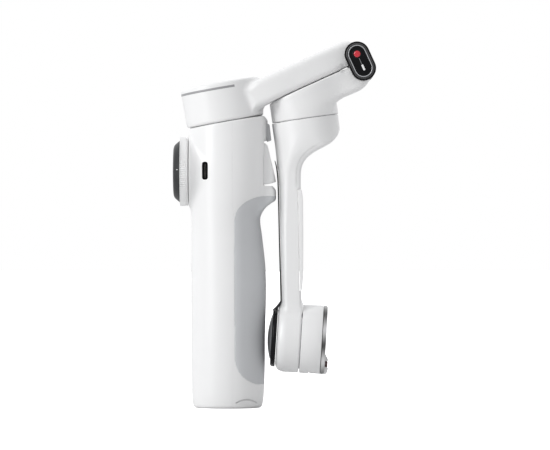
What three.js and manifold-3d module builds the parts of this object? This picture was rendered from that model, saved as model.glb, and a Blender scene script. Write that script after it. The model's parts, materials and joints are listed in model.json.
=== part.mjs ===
// Folding phone gimbal stabilizer, shown folded. Millimetres, +Z up.
// The origin is the centre of the handle's base. +X points to the folded arm, -X to the thumb wheel,
// and the fold hinge turns about Y.
import * as THREE from "three";
import { mergeVertices } from "three/addons/utils/BufferGeometryUtils.js";
import Module from "manifold-3d";

const wasm = await Module();
wasm.setup();

// ---------- driving dimensions ----------
const GAP = 0.3; // air left between neighbouring pieces
const WALL = 1.4; // moulded shell thickness
const SKIN = 32; // facets round an outer turned piece
const ROUND = 24; // facets round an inner turned piece
const FINE = 16; // facets round a small turned piece

const PAN = { x: -1.1, z: 127.4, tilt: 9.8 }; // seam centre between neck and pan head
const ARM_ANGLE = 24.7; // both folded arms rise at this angle
const PIVOT_1 = { x: 57.4, z: 157.3 }; // hinge pin of arm 1
const PIVOT_SPACING = 6.8; // from the pin of arm 1 to the pin of arm 2
const ROLL = { x: 34.55, z: 128.9, tilt: 8.2 }; // seam centre of the roll motor
const TILT = { x: 31.7, z: 30.8, drop: 3.6 }; // centre of the tilt motor
const HEAD_RADIUS = 17.4;
const HEAD_HEIGHT = 17.7;
const DRUM_RADIUS = 14.9;
const TILT_RADIUS = 15.3;
const ARM_END_HALF = 11; // half width of both arms between the hinge plates
const WHEEL = { z: 105.4, radius: 15.4, seat: -17.6, face: -21.4 };
const ROD = { x: 8.3, radius: 3.6 };
const BATTERY = { x: -4.7, y: 1.2, radius: 9.2, low: 46.4, high: 111.4 };
const BUTTON_Z = 105.4; // power button on the far side
const USB = { x: -10.1, z: 105.6 };
const TRIGGER_PIVOT = { x: 14.6, z: 116.2 };
const SPLIT = 2; // plane between the left and right halves of the handle's shell

// Left edge, right edge and half depth of the handle at each height.
const HANDLE_STATIONS = [
  [0, -14.6, 14.6, 14.6],
  [0.9, -15.3, 15.1, 15.3],
  [3, -15.8, 15.7, 15.8],
  [13, -16.2, 16.3, 16.2],
  [30, -16.4, 16.5, 16.5],
  [64, -16.5, 16.6, 16.6],
  [76, -16.5, 15.3, 16.5],
  [85, -16.5, 14.4, 16.6],
  [91, -16.8, 16.0, 16.8],
  [97, -17.1, 17.1, 17.1],
  [108, -17.3, 17.5, 17.4],
  [120, -17.4, 17.7, 17.4],
  [134, -17.5, 17.8, 17.4],
];

// ---------- materials ----------
function finish(color, roughness, metalness = 0) {
  return new THREE.MeshStandardMaterial({ color, roughness, metalness });
}
const WHITE = finish(0xf2f3f4, 0.32);
const GREY_PAD = finish(0xadb0b5, 0.75);
const SILVER_GREY = finish(0xb4b6b9, 0.45);
const DARK = finish(0x2b2d30, 0.45);
const BLACK = finish(0x0b0c0d, 0.12);
const RED = finish(0xc3122a, 0.25);
const STEEL = finish(0xb9bcc0, 0.3, 1);
const COPPER = finish(0xb87333, 0.4, 1);
const MAGNET = finish(0x8d8f92, 0.35, 1);
const BOARD = finish(0x1d4a34, 0.6);
const CELL = finish(0x3d6fae, 0.5);
const GOLD = finish(0xc9a24b, 0.3, 1);

// ---------- solids ----------
function solidOf(geometry) {
  const bare = geometry.clone();
  bare.deleteAttribute("normal");
  bare.deleteAttribute("uv");
  const merged = mergeVertices(bare, 1e-4);
  const vertProperties = merged.attributes.position.array;
  const triVerts = new Uint32Array(merged.index.array);
  return new wasm.Manifold(new wasm.Mesh({ numProp: 3, vertProperties, triVerts }));
}

function geometryOf(solid) {
  const mesh = solid.getMesh();
  const geometry = new THREE.BufferGeometry();
  const positions = new Float32Array(mesh.numVert * 3);
  for (let i = 0; i < mesh.numVert; i++) {
    positions.set(mesh.vertProperties.subarray(i * mesh.numProp, i * mesh.numProp + 3), i * 3);
  }
  geometry.setAttribute("position", new THREE.BufferAttribute(positions, 3));
  geometry.setIndex(new THREE.BufferAttribute(new Uint32Array(mesh.triVerts), 1));
  return geometry;
}

const union = (solids) => solids.reduce((sum, one) => sum.add(one));
const cut = (solid, cutters) => solid.subtract(union(cutters));

// A profile of [radius, height] points turned about Z.
function turned(profile, facets = ROUND, matrix = new THREE.Matrix4()) {
  const area = profile.reduce((sum, [r, z], i) => {
    const [nextR, nextZ] = profile[(i + 1) % profile.length];
    return sum + (r * nextZ - nextR * z) / 2;
  }, 0);
  const points = (area > 0 ? profile : [...profile].reverse()).map(([r, z]) => new THREE.Vector2(r, z));
  if (points.every((p) => p.x > 0)) points.push(points[0].clone());
  const geometry = new THREE.LatheGeometry(points, facets);
  return solidOf(geometry.rotateX(Math.PI / 2).applyMatrix4(matrix));
}

const disc = (radius, low, high, facets, matrix) =>
  turned([[0, low], [radius, low], [radius, high], [0, high]], facets, matrix);
const ring = (inner, outer, low, high, facets, matrix) =>
  turned([[inner, low], [outer, low], [outer, high], [inner, high]], facets, matrix);

// A closed outline whose corners are rounded by quadratic curves: [a, b] or [a, b, corner radius].
function outline(points) {
  const shape = new THREE.Shape();
  points.forEach(([a, b, radius = 0], i) => {
    const corner = new THREE.Vector2(a, b);
    const before = new THREE.Vector2(...points[(i + points.length - 1) % points.length].slice(0, 2));
    const after = new THREE.Vector2(...points[(i + 1) % points.length].slice(0, 2));
    const start = corner.clone().add(before.sub(corner).setLength(radius));
    const end = corner.clone().add(after.sub(corner).setLength(radius));
    if (i === 0) shape.moveTo(start.x, start.y);
    else shape.lineTo(start.x, start.y);
    if (radius > 0) shape.quadraticCurveTo(corner.x, corner.y, end.x, end.y);
  });
  return shape;
}

// An outline in X and Z, extruded from y = near to y = far.
function slab(points, near, far, matrix = new THREE.Matrix4()) {
  const geometry = new THREE.ExtrudeGeometry(outline(points), {
    depth: far - near,
    bevelEnabled: false,
    curveSegments: 4,
  });
  return solidOf(geometry.rotateX(Math.PI / 2).translate(0, far, 0).applyMatrix4(matrix));
}

// An outline in X and Y, extruded from z = low to z = high.
function plate(points, low, high, matrix = new THREE.Matrix4()) {
  const geometry = new THREE.ExtrudeGeometry(outline(points), {
    depth: high - low,
    bevelEnabled: false,
    curveSegments: 4,
  });
  return solidOf(geometry.translate(0, 0, low).applyMatrix4(matrix));
}

function box(x, y, z, matrix = new THREE.Matrix4()) {
  const geometry = new THREE.BoxGeometry(x[1] - x[0], y[1] - y[0], z[1] - z[0]);
  geometry.translate((x[0] + x[1]) / 2, (y[0] + y[1]) / 2, (z[0] + z[1]) / 2);
  return solidOf(geometry.applyMatrix4(matrix));
}

// A pin along Y through x, z.
function pinY(x, z, radius, near, far, facets = FINE, matrix = new THREE.Matrix4()) {
  const geometry = new THREE.CylinderGeometry(radius, radius, far - near, facets);
  return solidOf(geometry.translate(x, (near + far) / 2, z).applyMatrix4(matrix));
}

// A stack of oval rings, each [z, left, right, half depth], closed by a fan at each end.
function loft(stations, facets = SKIN) {
  const positions = [];
  const index = [];
  stations.forEach(([z, left, right, half]) => {
    for (let i = 0; i < facets; i++) {
      const angle = (2 * Math.PI * i) / facets;
      const reach = ((right - left) / 2) * Math.cos(angle);
      positions.push((left + right) / 2 + reach, half * Math.sin(angle), z);
    }
  });
  for (let s = 0; s + 1 < stations.length; s++) {
    for (let i = 0; i < facets; i++) {
      const a = s * facets + i;
      const b = s * facets + ((i + 1) % facets);
      index.push(a, b, b + facets, a, b + facets, a + facets);
    }
  }
  [0, stations.length - 1].forEach((s) => {
    const [z, left, right] = stations[s];
    const hub = positions.length / 3;
    positions.push((left + right) / 2, 0, z);
    for (let i = 0; i < facets; i++) {
      const a = s * facets + i;
      const b = s * facets + ((i + 1) % facets);
      if (s === 0) index.push(hub, b, a);
      else index.push(hub, a, b);
    }
  });
  const geometry = new THREE.BufferGeometry();
  geometry.setAttribute("position", new THREE.Float32BufferAttribute(positions, 3));
  geometry.setIndex(index);
  return solidOf(geometry);
}

const shrunk = (stations, by) =>
  stations.map(([z, left, right, half]) => [z, left + by, right - by, half - by]);

// ---------- frames ----------
// A turn about Y that leans local +Z towards -X by the given degrees.
const lean = (degrees) => -THREE.MathUtils.degToRad(degrees);
const frameAt = (x, z, angle) =>
  new THREE.Matrix4().makeRotationY(angle).setPosition(x, 0, z);
const panFrame = frameAt(PAN.x, PAN.z, lean(PAN.tilt));
const armFrame = frameAt(PIVOT_1.x, PIVOT_1.z, lean(ARM_ANGLE));
const rollFrame = frameAt(ROLL.x, ROLL.z, lean(ROLL.tilt));
const tiltFrame = frameAt(TILT.x, TILT.z, THREE.MathUtils.degToRad(90 + TILT.drop));
const wheelFrame = new THREE.Matrix4()
  .makeRotationY(-Math.PI / 2)
  .setPosition(0, 0, WHEEL.z); // local +Z points to -X

const gimbal = new THREE.Group();
const groupAt = (matrix) => {
  const group = new THREE.Group();
  group.applyMatrix4(matrix);
  gimbal.add(group);
  return group;
};
const panGroup = groupAt(panFrame);
const armGroup = groupAt(armFrame);
const rollGroup = groupAt(rollFrame);
const tiltGroup = groupAt(tiltFrame);
const wheelGroup = groupAt(wheelFrame);

function add(name, solid, material, group = gimbal) {
  const mesh = new THREE.Mesh(geometryOf(solid), material.clone());
  mesh.name = name;
  group.add(mesh);
}

// ---------- handle ----------
const aboveSeam = box([-40, 40], [-40, 40], [-GAP, 60], panFrame);
const handleOuter = loft(HANDLE_STATIONS).subtract(aboveSeam);
// A tongue seen from above, rounded at its tip, that trims what stands out of the handle.
function roundedNose(reach, half) {
  return plate([
    [0, -half], [reach - 4.5, -half, 3], [reach, -half + 4, 2],
    [reach, half - 4, 2], [reach - 4.5, half, 3], [0, half],
  ], 80, 125);
}
const bumpSide = slab([
  [11, 84.6], [14.4, 87.2], [19, 91.4, 2], [21.7, 92.7, 0.8], [21.7, 97.3, 0.8], [19.4, 99.6], [11, 99.6],
], -7.5, 7.5);
const bump = bumpSide.intersect(roundedNose(21.7, 7.5));
const wheelBoss = turned([[0, 4], [WHEEL.radius, 4], [WHEEL.radius, 17], [0, 17]], SKIN, wheelFrame);
const handleBody = union([handleOuter, bump, wheelBoss]);

const PAD_THICK = 1.2;
const padOutline = [[2.9, 20, 2.4], [2.9, 84, 5], [9.5, 91.2, 3.6], [22.5, 95.6], [30, 95.6], [30, 10.6],
  [12, 10.6, 3.6], [5, 14.5, 3]];
const padRegion = slab(padOutline, -25, 25);
const padInner = loft(shrunk(HANDLE_STATIONS, PAD_THICK));
const bumpInnerSide = slab([
  [11, 86.2], [14, 88.6], [18.4, 92.9, 2], [20.4, 93.6], [20.4, 100], [11, 100],
], -6.3, 6.3);
const bumpInner = bumpInnerSide.intersect(roundedNose(20.5, 6.3));
const grip = handleBody.intersect(padRegion).subtract(padInner.add(bumpInner));
const biggest = (solid) => solid.decompose().sort((a, b) => b.volume() - a.volume())[0];

const padPocket = slab([
  [2.6, 19.7, 2.4], [2.6, 84.3, 5], [9.3, 91.5, 3.6], [22.4, 95.9], [30, 95.9], [30, 10.3],
  [11.9, 10.3, 3.6], [4.8, 14.2, 3],
], -25, 25);
const underBumpSide = slab([
  [11, 86.8], [14, 89.2], [18.2, 93.2, 2], [20.1, 93.9], [20.1, 100], [11, 100],
], -6, 6);
const underBump = underBumpSide.intersect(roundedNose(20.2, 6));
const underPad = loft(shrunk(HANDLE_STATIONS, PAD_THICK + GAP)).add(underBump);
const shellOuter = handleBody.subtract(padPocket.subtract(underPad));

const inside = (z, left, right, half) => [z, left + WALL, right - WALL, half - WALL];
const CAVITY = [
  inside(-1, -14.7, 14.6, 14.6),
  inside(13, -15, 14.9, 15),
  inside(64, -16.5, 15.2, 15.6),
  inside(85, -16.5, 13.6, 15.6),
  inside(97, -16.9, 15.6, 16.4),
  inside(140, -17.2, 17.3, 17.1),
];
const wheelBore = disc(9.2, 10, 30, FINE, wheelFrame);
const triggerMouth = slab([[11, 98.9], [30, 98.9], [30, 119], [11, 119]], -7.2, 7.2);
const usbMatrix = frameAt(USB.x, USB.z, 0);
// A rounded slot of the given half width and half height, for the socket and its opening.
function usbSlot(halfX, halfZ, corner, near, far) {
  const sides = [[-halfX, -halfZ], [halfX, -halfZ], [halfX, halfZ], [-halfX, halfZ]];
  return slab(sides.map(([x, z]) => [x, z, corner]), near, far, usbMatrix);
}
const usbMouth = usbSlot(1.3, 4, 1.1, -20, -8);
const usbPocket = box([-1.9, 1.9], [-11.5, -7], [-4.7, 4.7], usbMatrix);
const buttonMouth = pinY(0, BUTTON_Z, 4.3, 12, 20);
const thumbNotch = pinY(7.5, -3.9, 7.4, -20, -12.6, ROUND);
const openings = [wheelBore, triggerMouth, usbMouth, usbPocket, buttonMouth, thumbNotch];
const shell = cut(shellOuter, [loft(CAVITY), ...openings]);
const leftHalf = box([-40, SPLIT - GAP / 2], [-40, 40], [-5, 150]);
const rightHalf = box([SPLIT + GAP / 2, 40], [-40, 40], [-5, 150]);
add("handle_left_shell", biggest(shell.intersect(leftHalf)), WHITE);
add("handle_right_shell", biggest(shell.intersect(rightHalf)), WHITE);
add("grip_pad", biggest(grip), GREY_PAD);

// ---------- inside the handle ----------
const DECK_RADIUS = 13;
const lowerDeck = disc(DECK_RADIUS, 43.2, 44.6, FINE);
const upperDeck = disc(DECK_RADIUS, 112.2, 113.6, FINE);
const columns = [box([-1, 3.6], [-10.6, -9.2], [44, 113]), box([-1.6, 3.6], [10.8, 12.2], [44, 113])];
const rodHole = disc(ROD.radius + GAP, 40, 120, FINE, new THREE.Matrix4().makeTranslation(ROD.x, 0, 0));
const buttonRoom = box([-4, 4], [9, 14], [99, 111.8]);
add("inner_frame", cut(union([lowerDeck, upperDeck, ...columns]), [rodHole, buttonRoom]), DARK);
const batteryAt = new THREE.Matrix4().makeTranslation(BATTERY.x, BATTERY.y, 0);
add("battery_cell", disc(BATTERY.radius, BATTERY.low, BATTERY.high, FINE, batteryAt), CELL);
const powerSwitch = box([-3, 1.6], [10.6, 12], [103.6, 107]);
add("main_board", box([-8, -2.4], [10.6, 11.4], [50, 108]).add(powerSwitch), BOARD);
const usbShell = usbSlot(1.6, 4.4, 1.4, -11.2, -7.7);
const usbRoom = usbSlot(1.3, 4.1, 1.1, -13, -8.3);
const usbTongue = box([-0.35, 0.35], [-10.9, -8], [-3, 3], usbMatrix);
add("usb_socket", usbShell.subtract(usbRoom).add(usbTongue), STEEL);
const rodAt = new THREE.Matrix4().makeTranslation(ROD.x, 0, 0);
const outerTube = [[0, 47], [ROD.radius, 47], [ROD.radius, 108], [3.2, 108], [3.2, 48.2], [0, 48.2]];
add("rod_outer_tube", turned(outerTube, FINE, rodAt), STEEL);
add("trigger_switch", box([14.2, 15.2], [-2, 2], [101, 105]), BLACK);

// Rest bumper: a short post on the neck that the folded roll motor leans on.
add("rest_bumper", slab([[17.9, 119.6], [19.3, 119.6], [18.6, 125.6, 0.5], [17.9, 126.2]], -4, 4), DARK);

// ---------- trigger ----------
const triggerSkin = slab([
  [13.4, 114.6, 0.8], [17.4, 110], [18.4, 104], [18, 99.6], [20.6, 100.2, 0.6], [21, 102],
  [20.3, 107], [19.3, 111.5], [17.6, 117.2, 1], [15.6, 118.2, 1], [13.2, 118.2, 1],
], -6.8, 6.8);
const triggerBore = pinY(TRIGGER_PIVOT.x, TRIGGER_PIVOT.z, 1.2, -10, 10);
add("trigger", triggerSkin.intersect(roundedNose(21.3, 6.8)).subtract(triggerBore), WHITE);
add("trigger_pin", pinY(TRIGGER_PIVOT.x, TRIGGER_PIVOT.z, 0.9, -6.6, 6.6), STEEL);

// ---------- power button on the far side ----------
const buttonCap = pinY(0, BUTTON_Z, 4, 14.6, 17.7);
const buttonStem = pinY(0, BUTTON_Z, 2, 12.4, 15);
add("power_button", buttonCap.add(buttonStem), WHITE);

// ---------- thumb wheel: local +Z points to -X ----------
const RIBS = 48; // facets of the ribbed rim, every second one set back
const RIB_DEPTH = 0.3;
const wheelSkin = [];
for (let i = 0; i < RIBS; i++) {
  const radius = WHEEL.radius - (i % 2) * RIB_DEPTH;
  const angle = (2 * Math.PI * i) / RIBS;
  wheelSkin.push([radius * Math.cos(angle), radius * Math.sin(angle)]);
}
const seat = -WHEEL.seat;
const face = -WHEEL.face;
const wheelRing = plate(wheelSkin, seat, face).subtract(disc(14.2, seat + 1.4, 40, ROUND));
const wheelHub = ring(5.6, 8.8, seat - 3.2, seat + 1, FINE);
const hubBore = disc(5.6, 0, 40, FINE);
add("thumb_wheel", wheelRing.add(wheelHub).subtract(hubBore), WHITE, wheelGroup);
const DISC_TOP = 24.6;
const touchDome = turned([
  [0, seat + 1.8], [13.9, seat + 1.8], [13.9, face - 0.1], [11.4, DISC_TOP - 0.5], [10.4, DISC_TOP],
  [0, DISC_TOP],
], SKIN);
const touchStem = disc(5.3, seat - 2.4, seat + 2, FINE);
add("touch_disc", touchDome.add(touchStem), DARK, wheelGroup);

// ---------- tripod in the foot ----------
const LEG_TOP = 36;
const HUB_LOW = 37;
const hubDisc = disc(12.4, HUB_LOW, 41, ROUND);
const hubPost = disc(3, 0, HUB_LOW + 1, FINE);
const LEGS = 3;
const legTurn = (i) => new THREE.Matrix4().makeRotationZ((2 * Math.PI * i) / LEGS);
const lugAt = (i) => box([8.6, 10.8], [-1.4, 1.4], [31, HUB_LOW + 1], legTurn(i));
const WIRE_RING = { radius: 9.7, z: 33 }; // the wire that the three legs hinge on
function hingeWire(radius) {
  const { radius: reach, z } = WIRE_RING;
  return ring(reach - radius, reach + radius, z - radius, z + radius, ROUND);
}
const legIndex = [...Array(LEGS).keys()];
add("tripod_hub", cut(union([hubDisc, hubPost, ...legIndex.map(lugAt)]), [hingeWire(0.9)]), DARK);
add("leg_hinge_wire", hingeWire(0.6), STEEL);
const footRing = ring(3.4, 12.8, 0, LEG_TOP, ROUND);
const footBevel = turned([[11.4, -1], [15, -1], [15, 3], [12.8, 1]], ROUND);
legIndex.forEach((i) => {
  const wedge = plate([[0, 0], [30, -50], [30, 50]], -1, 50, legTurn(i));
  const slot = box([7.6, 20], [-1.7, 1.7], [29, 50], legTurn(i));
  const gapSides = [-1, 1].map((side) =>
    box([-2, 30], side > 0 ? [0, 0.2] : [-0.2, 0], [-1, 50],
      legTurn(i).multiply(new THREE.Matrix4().makeRotationZ((side * Math.PI) / LEGS))));
  const leg = cut(footRing.intersect(wedge), [slot, footBevel, hingeWire(0.9), ...gapSides]);
  add("tripod_leg_" + (i + 1), biggest(leg), WHITE);
});

// ---------- telescopic rod ----------
const middleTube = [[0, 49], [2.9, 49], [2.9, 109], [2.2, 109], [2.2, 50.2], [0, 50.2]];
add("rod_middle_tube", turned(middleTube, FINE, rodAt), STEEL);
const rodTop = disc(1.9, 51, 125, FINE, rodAt);
const cupProfile = [[5.2, -7], [14.4, -7], [14.4, -0.7], [13.7, -0.7], [13.7, -6], [5.2, -6]];
const statorCup = turned(cupProfile, ROUND, panFrame);
const statorTube = ring(3.9, 5.4, -7, -1.6, FINE, panFrame);
const belowFloor = box([-40, 40], [-40, 40], [-60, -6.2], panFrame);
add("rod_carriage", union([rodTop.intersect(belowFloor), statorCup, statorTube]), SILVER_GREY);
add("pan_coils", ring(5.8, 11, -5.6, -1.8, FINE), COPPER, panGroup);
add("pan_bearing", ring(1.9, 3.6, -5.6, -2, FINE), STEEL, panGroup);

// ---------- pan head ----------
const headSkin = turned([
  [0, 0.05], [HEAD_RADIUS - 0.5, 0.05], [HEAD_RADIUS, 0.6], [HEAD_RADIUS, HEAD_HEIGHT - 1.2],
  [HEAD_RADIUS - 1.2, HEAD_HEIGHT], [0, HEAD_HEIGHT],
], SKIN, panFrame);
const headRoom = disc(HEAD_RADIUS - 2, -1, HEAD_HEIGHT - 1.8, ROUND, panFrame);
const ARM_LOW = -3.2; // lower face of arm 1 from its pin
const ARM_HIGH = 8.1; // upper face of arm 1 from its pin
const ARM_STEP = 0.9; // both arms thin by this near the pins
const armOneSide = slab([
  [-52, ARM_LOW], [-9, ARM_LOW, 2], [-8.2, ARM_LOW + ARM_STEP], [0, ARM_LOW + ARM_STEP], [3.1, -1.2, 1],
  [3, 1.4, 1], [0.4, 6.3, 0.4], [-3.4, ARM_HIGH, 1.5], [-46, ARM_HIGH], [-52, ARM_HIGH - 2],
], -20, 20, armFrame);
const armOneTop = plate([
  [-56, -13.5], [-44, -15, 3], [-14, -12.4, 4], [-8, -ARM_END_HALF], [6, -ARM_END_HALF],
  [6, ARM_END_HALF], [-8, ARM_END_HALF], [-14, 12.4, 4], [-44, 15, 3], [-56, 13.5],
], -20, 30, armFrame);
const boreOne = pinY(0, 0, 2.3, -20, 20, FINE, armFrame);
const cableBay = box([-33, -10], [-7.8, 7.8], [-10, ARM_HIGH - 1.8], armFrame);
const headCore = disc(HEAD_RADIUS + GAP, -1, 60, SKIN, panFrame);
const armOneBody = cut(armOneSide.intersect(armOneTop), [boreOne, cableBay, headCore]);
add("arm_1_shell", biggest(armOneBody), WHITE);
const armCover = box([-32.7, -10.3], [-7.5, 7.5], [ARM_LOW + 0.1, ARM_LOW + 1.4], armFrame);
add("arm_1_cover", armCover, WHITE);
const flatCable = box([-32.4, -10.6], [-4, 4], [ARM_HIGH - 3.4, ARM_HIGH - 2.9], armFrame);
add("arm_1_cable", flatCable, DARK);
const inlayGroove = ring(HEAD_RADIUS - 0.6, HEAD_RADIUS + 1, 14.3, 15.7, SKIN, panFrame);
const inlaySector = box([-30, 7.2], [-30, 30], [0, 30], panFrame);
add("pan_head_shell", cut(headSkin, [headRoom, inlayGroove.intersect(inlaySector)]), WHITE);
const inlayTrim = box([-30, 6.9], [-30, 30], [0, 30], panFrame);
const inlayBand = ring(HEAD_RADIUS - 0.4, HEAD_RADIUS, 14.5, 15.5, SKIN, panFrame);
add("head_inlay_strip", inlayBand.intersect(inlayTrim), SILVER_GREY);
const rotorBell = turned([[0, 1], [14.6, 1], [14.6, 3], [0, 3]], ROUND);
const rotorShaft = disc(1.6, -5.4, 2, FINE);
add("pan_rotor", rotorBell.add(rotorShaft), STEEL, panGroup);
add("pan_magnet_ring", ring(11.4, 13.3, -5.4, 0.7, ROUND), MAGNET, panGroup);

// ---------- fold hinge link, in the frame of arm 1's pin ----------
const PILL_RADIUS = 5.6;
const CAP_NEAR = ARM_END_HALF + GAP;
const PIN_HALF = 13.6;
function pill(radius, near, far) {
  const shape = new THREE.Shape();
  shape.absarc(0, 0, radius, 0, Math.PI, false);
  shape.absarc(0, -PIVOT_SPACING, radius, Math.PI, 2 * Math.PI, false);
  const depth = far - near;
  const geometry = new THREE.ExtrudeGeometry(shape, { depth, bevelEnabled: false, curveSegments: 8 });
  return solidOf(geometry.rotateX(Math.PI / 2).translate(0, far, 0));
}
const CAP_FAR = 16.4; // outer face of a cap, inside its raised bevel
const CAP_BEVEL = 0.6;
const pinHoles = [0, -PIVOT_SPACING].map((z) => pinY(0, z, 2.2, -PIN_HALF - GAP, PIN_HALF + GAP));
const sorted = (sign, near, far) => [sign * near, sign * far].sort((a, b) => a - b);
[["front", -1], ["rear", 1]].forEach(([side, sign]) => {
  const rim = pill(PILL_RADIUS, ...sorted(sign, CAP_NEAR, CAP_FAR));
  const bevel = pill(PILL_RADIUS - 0.5, ...sorted(sign, CAP_FAR - 0.1, CAP_FAR + CAP_BEVEL));
  const recess = pill(PILL_RADIUS - 1.6, ...sorted(sign, CAP_FAR - 0.1, 20));
  add("hinge_cap_" + side, cut(rim.add(bevel), [recess, ...pinHoles]), BLACK, armGroup);
});
const TRIM = [-CAP_FAR - 0.5, -CAP_FAR - 0.2]; // the trim on the front cap lies between these Y values
const capRing = pill(PILL_RADIUS - 1.8, ...TRIM).subtract(pill(PILL_RADIUS - 2.2, -20, -10));
add("cap_ring", capRing, STEEL, armGroup);
add("cap_dot", pinY(0, 0, 1.5, ...TRIM), RED, armGroup);
const capBar = box([-0.6, 0.6], TRIM, [-PIVOT_SPACING - 1.4, -PIVOT_SPACING + 1.4]);
add("cap_bar", capBar, WHITE, armGroup);
["upper", "lower"].forEach((side, i) => {
  add("hinge_pin_" + side, pinY(0, -i * PIVOT_SPACING, 1.9, -PIN_HALF, PIN_HALF), STEEL, armGroup);
});

// ---------- arm 2 with the roll motor's stator housing ----------
const ARM2_HIGH = -PIVOT_SPACING - ARM_LOW; // mirror of arm 1's lower face about the middle of the link
const ARM2_LOW = -PIVOT_SPACING - ARM_HIGH;
const armTwoSide = slab([
  [-34, ARM2_HIGH], [-8.2, ARM2_HIGH], [-8.2, ARM2_HIGH - ARM_STEP], [0, ARM2_HIGH - ARM_STEP],
  [3.1, -5.6, 1], [3, -8.2, 1], [0.9, -12.6, 1], [-3.4, ARM2_LOW, 2], [-13, ARM2_LOW + 0.6, 3],
  [-20, -20], [-34, -20],
], -20, 20, armFrame);
const armTwoWidth = box([-40, 6], [-ARM_END_HALF, ARM_END_HALF], [-40, 10], armFrame);
const drum = disc(DRUM_RADIUS, GAP / 2, 40, SKIN, rollFrame);
const underArmOne = box([-80, 30], [-30, 30], [-60, ARM2_HIGH], armFrame);
const aboveRollSeam = box([-60, 60], [-30, 30], [GAP / 2, 60], rollFrame);
const boreTwo = pinY(0, -PIVOT_SPACING, 2.3, -20, 20, FINE, armFrame);
const statorRoom = disc(DRUM_RADIUS - 1.5, -5, 5, ROUND, rollFrame);
const armTwoBar = armTwoSide.intersect(armTwoWidth).intersect(aboveRollSeam);
const armTwoSolid = drum.add(armTwoBar).intersect(underArmOne);
const rollTube = ring(3.9, 5.4, 0.6, 5.2, FINE, rollFrame);
add("arm_2_shell", cut(armTwoSolid, [boreTwo, statorRoom]).add(rollTube), WHITE);
add("roll_coils", ring(5.8, 10.6, 1, 4.6, FINE), COPPER, rollGroup);
add("roll_bearing", ring(1.9, 3.6, 1, 4.6, FINE), STEEL, rollGroup);

// ---------- arm 3 with the roll rotor ----------
const rotorSide = slab([
  [18.9, 127.4], [19.6, 118], [20.5, 111.5], [21.9, 106.2], [22.4, 98], [22.9, 74], [23.6, 44], [32.8, 44],
  [32.6, 100], [32.4, 107], [33.4, 110.2, 1.5], [35.7, 112.6, 2], [45.6, 117.9, 2], [48.4, 120.8, 1.5],
  [50.2, 124.6, 1], [49.4, 131.6], [19.3, 131.6],
], -20, 20);
const belowRollSeam = box([-60, 60], [-30, 30], [-120, -GAP / 2], rollFrame);
const rollDrum = disc(DRUM_RADIUS + 0.3, -20, 0, SKIN, rollFrame);
const ARM3_HALF = 9.5;
// The arm's back is rounded about the roll axis, so that it can turn beside the handle.
const rollEnvelope = turned([
  [0, -96], [24.5, -96], [23, -82.5], [19.4, -52.7], [16.4, -28.9], [15.8, -20.7], [16.4, -15.2], [16.4, -5],
  [0, -5],
], 48, rollFrame);
const armThreeFront = box([0, 60], [-ARM3_HALF, ARM3_HALF], [30, 118]).intersect(rollEnvelope);
const flare = turned([
  [0, -36], [9, -36], [11, -28], [14, -18], [DRUM_RADIUS + 0.3, -12], [DRUM_RADIUS + 0.3, 0], [0, 0],
], SKIN, rollFrame);
const armThreeSolid = rotorSide.intersect(belowRollSeam).intersect(union([rollDrum, flare, armThreeFront]));
const magnetRoom = ring(10.9, DRUM_RADIUS - 1.5, -4, 5, ROUND, rollFrame);
const coilRoom = disc(11.2, -2, 5, ROUND, rollFrame);
const backGroove = slab([
  [19, 110.4], [21.2, 110.4], [22.5, 106], [23, 98], [23.5, 74], [24.1, 50], [19, 50],
], -3.9, 3.9);
const coverGroove = slab([[30.9, 97.4], [32, 52], [40, 52], [40, 98]], -7.2, 7.2);
const tiltSkin = turned([
  [0, -9.8], [13.4, -9.8], [TILT_RADIUS - 0.6, -8.4], [TILT_RADIUS, -6], [TILT_RADIUS, 0.6], [0, 0.6],
], SKIN, tiltFrame);
const tiltRoom = disc(TILT_RADIUS - 1.5, -7.6, 5, ROUND, tiltFrame);
const tiltTube = ring(3.9, 5.4, -8, -0.6, FINE, tiltFrame);
const armThreeRooms = [magnetRoom, coilRoom, backGroove, coverGroove, tiltRoom];
const armThreeSkin = cut(armThreeSolid.add(tiltSkin), armThreeRooms);
add("arm_3_shell", armThreeSkin.add(tiltTube), WHITE);
const backStrip = slab([
  [21.9, 105.8], [22.2, 105.8], [22.7, 98], [23.2, 74], [23.75, 50.4], [23.5, 50.4], [22.9, 74], [22.4, 98],
], -3.6, 3.6);
add("arm_3_back_strip", backStrip, DARK);
const frontCover = slab([
  [31.25, 97], [32.3, 52.4], [33, 52.4, 0.4], [33.6, 58], [33.5, 93, 2], [32.9, 97],
], -6.9, 6.9);
add("arm_3_cover", frontCover, WHITE);
const rollShaft = disc(1.6, -1.6, 4.4, FINE);
const rollFlange = disc(5, -1.7, -0.6, FINE);
add("roll_rotor", rollShaft.add(rollFlange), STEEL, rollGroup);
add("roll_magnet_ring", ring(11.4, DRUM_RADIUS - 1.8, -3.6, 4.6, ROUND), MAGNET, rollGroup);

// ---------- tilt motor: local +Z runs along the motor to the mount plate ----------
add("tilt_coils", ring(5.8, 10.6, -6.8, -1.6, FINE), COPPER, tiltGroup);
add("tilt_bearing", ring(1.9, 3.6, -6.8, -1.6, FINE), STEEL, tiltGroup);
const capBand = turned([[0, -12.3], [12.6, -12.3], [13.2, -11.4], [13.2, -10.1], [0, -10.1]], SKIN);
const domeSeat = disc(11, -20, -11.4, ROUND);
add("tilt_end_cap", capBand.subtract(domeSeat), BLACK, tiltGroup);
const domeProfile = [[0, -14.3], [4, -14], [8, -13.1], [10.7, -11.9], [10.7, -11.7], [0, -11.7]];
add("tilt_dome", turned(domeProfile, SKIN), DARK, tiltGroup);
const rotorSkin = turned([[0, 0.95], [TILT_RADIUS, 0.95], [TILT_RADIUS + 0.2, 10.1], [0, 10.1]], SKIN);
const tiltRotorRoom = disc(TILT_RADIUS - 1.5, 0, 3, ROUND);
const plateSeat = disc(13, 8.6, 20, ROUND);
const latchSeat = box([11.4, 20], [-4.3, 4.3], [5, 20]);
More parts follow.
